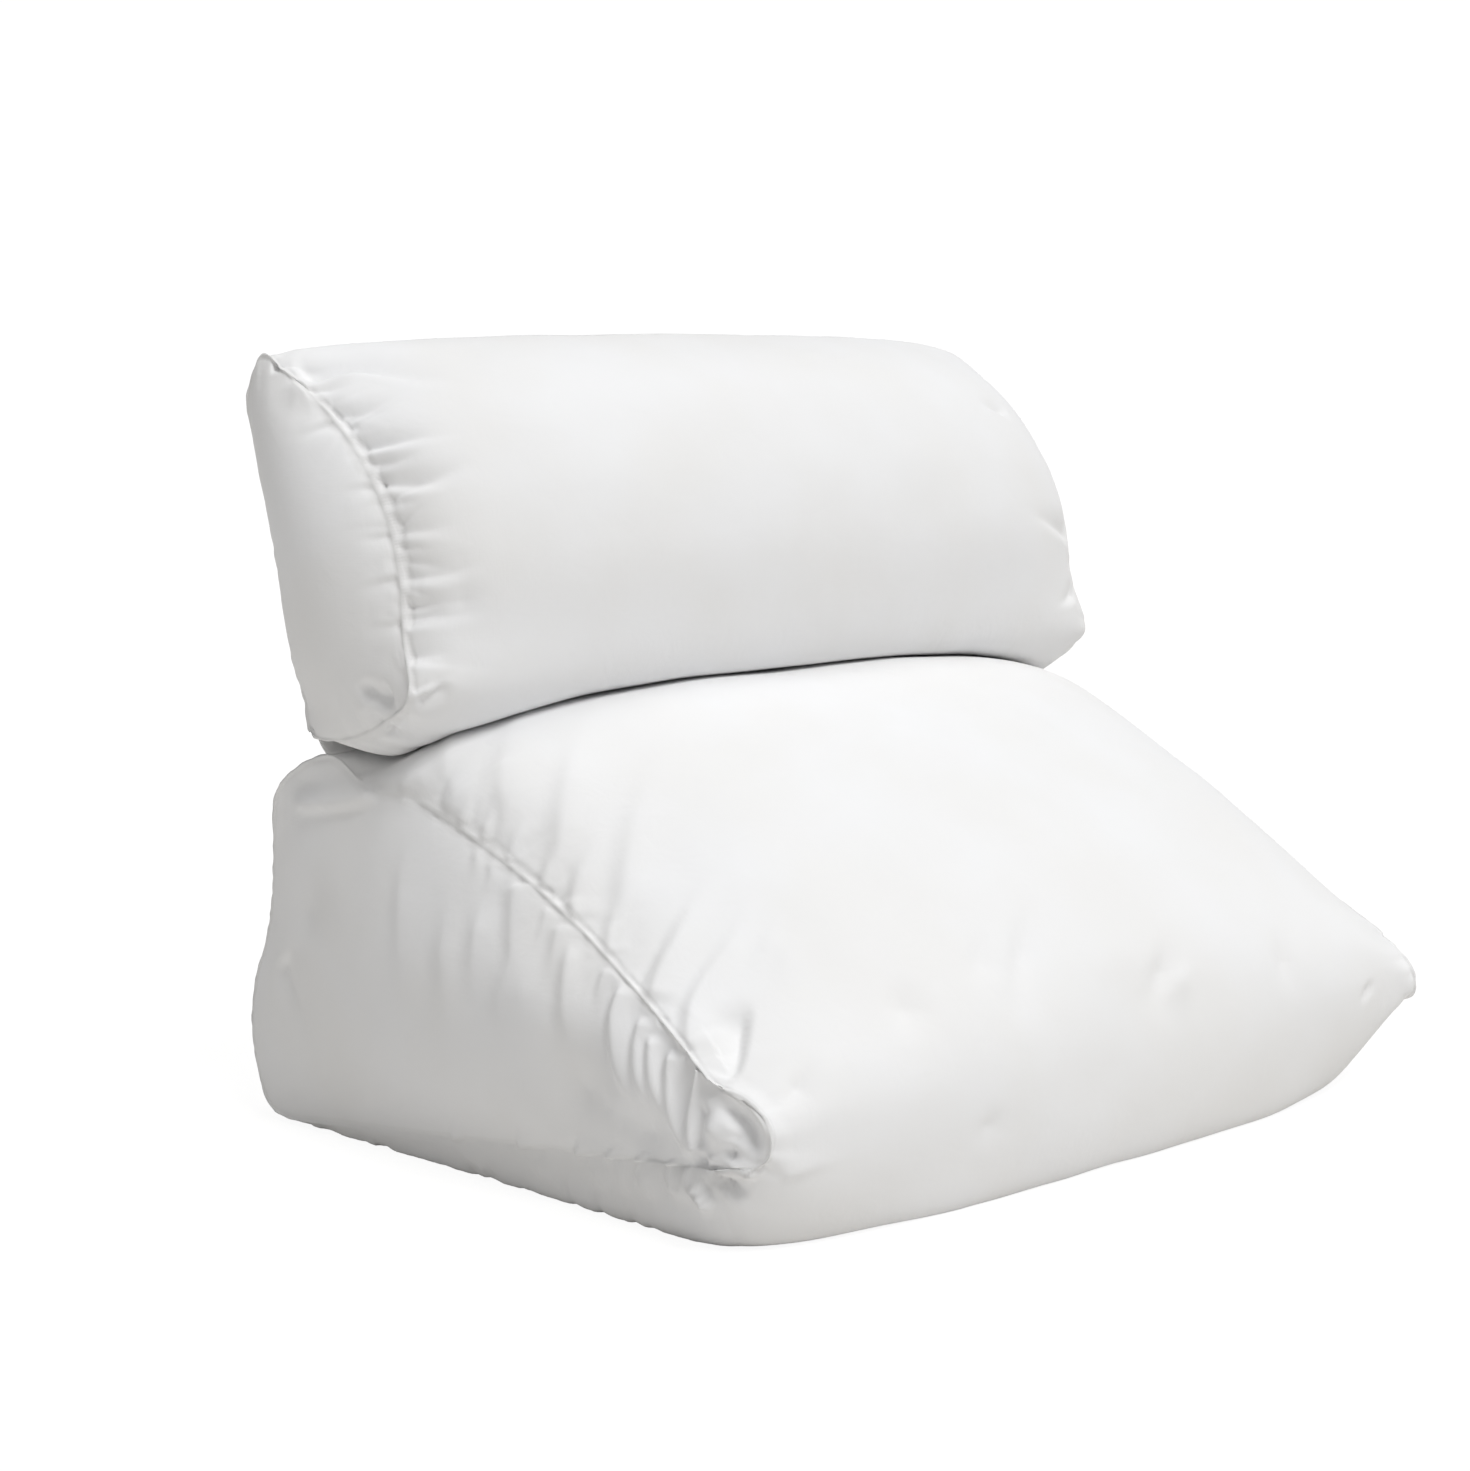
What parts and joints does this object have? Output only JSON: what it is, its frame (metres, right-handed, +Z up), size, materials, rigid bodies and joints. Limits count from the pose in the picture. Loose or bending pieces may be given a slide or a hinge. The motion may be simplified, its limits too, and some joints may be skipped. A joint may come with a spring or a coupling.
{
  "type": "wedge cushion with head bolster",
  "caption": "White fibre-filled wedge cushion for sitting up in bed, with a narrow-topped head bolster joined by a cloth strip along its top back edge.",
  "frame": {"origin": "on the surface the cushion rests on, under the middle of the whole cushion", "axes": "+X along the width, +Y from the thin front edge towards the back, +Z up"},
  "size_m": [0.741, 0.5612, 0.5581],
  "materials": {
    "cover": "matt white woven cotton over a fibre filling",
    "hinge_cloth": "the same matt white woven cotton, sewn as a strip"
  },
  "bodies": {
    "root": {"wedge_cushion": "cover", "bolster_cushion": "cover", "hinge_strip": "hinge_cloth"}
  },
  "joints": []
}
